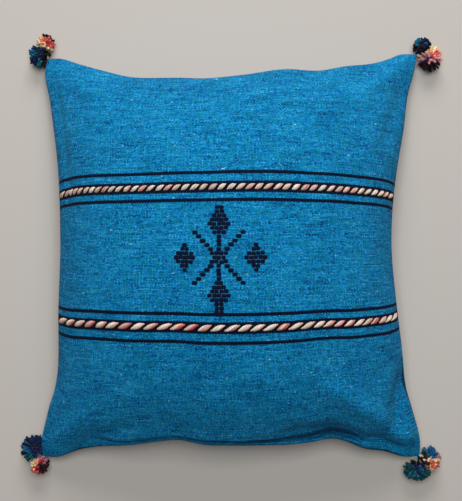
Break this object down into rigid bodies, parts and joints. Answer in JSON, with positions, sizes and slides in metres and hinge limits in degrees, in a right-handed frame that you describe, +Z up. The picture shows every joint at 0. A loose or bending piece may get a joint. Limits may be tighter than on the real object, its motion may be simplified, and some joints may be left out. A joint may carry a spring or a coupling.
{
  "type": "filled kilim pillow cover",
  "caption": "Filled flat-woven wool pillow cover with drawn-in sides, twined bands across the face and paired yarn pompoms at its corners.",
  "frame": {"origin": "middle of the underside of the whole part, on the surface it lies on", "axes": "+Z up out of the face, +Y towards the top edge of the face, +X to its right"},
  "size_m": [0.5198, 0.553, 0.1335],
  "materials": {
    "kilim_wool": "flat-woven matt wool, heathered",
    "twined_wool": "twined two-colour wool yarn",
    "yarn_dark": "cut wool yarn",
    "yarn_bright": "cut wool yarn"
  },
  "bodies": {
    "root": {"cushion": "kilim_wool", "twined_cord_upper": "twined_wool", "twined_cord_lower": "twined_wool", "pompom_top_left_dark": "yarn_dark", "pompom_top_left_bright": "yarn_bright", "pompom_top_right_dark": "yarn_dark", "pompom_top_right_bright": "yarn_bright", "pompom_bottom_right_dark": "yarn_dark", "pompom_bottom_right_bright": "yarn_bright", "pompom_bottom_left_dark": "yarn_dark", "pompom_bottom_left_bright": "yarn_bright"}
  },
  "joints": []
}
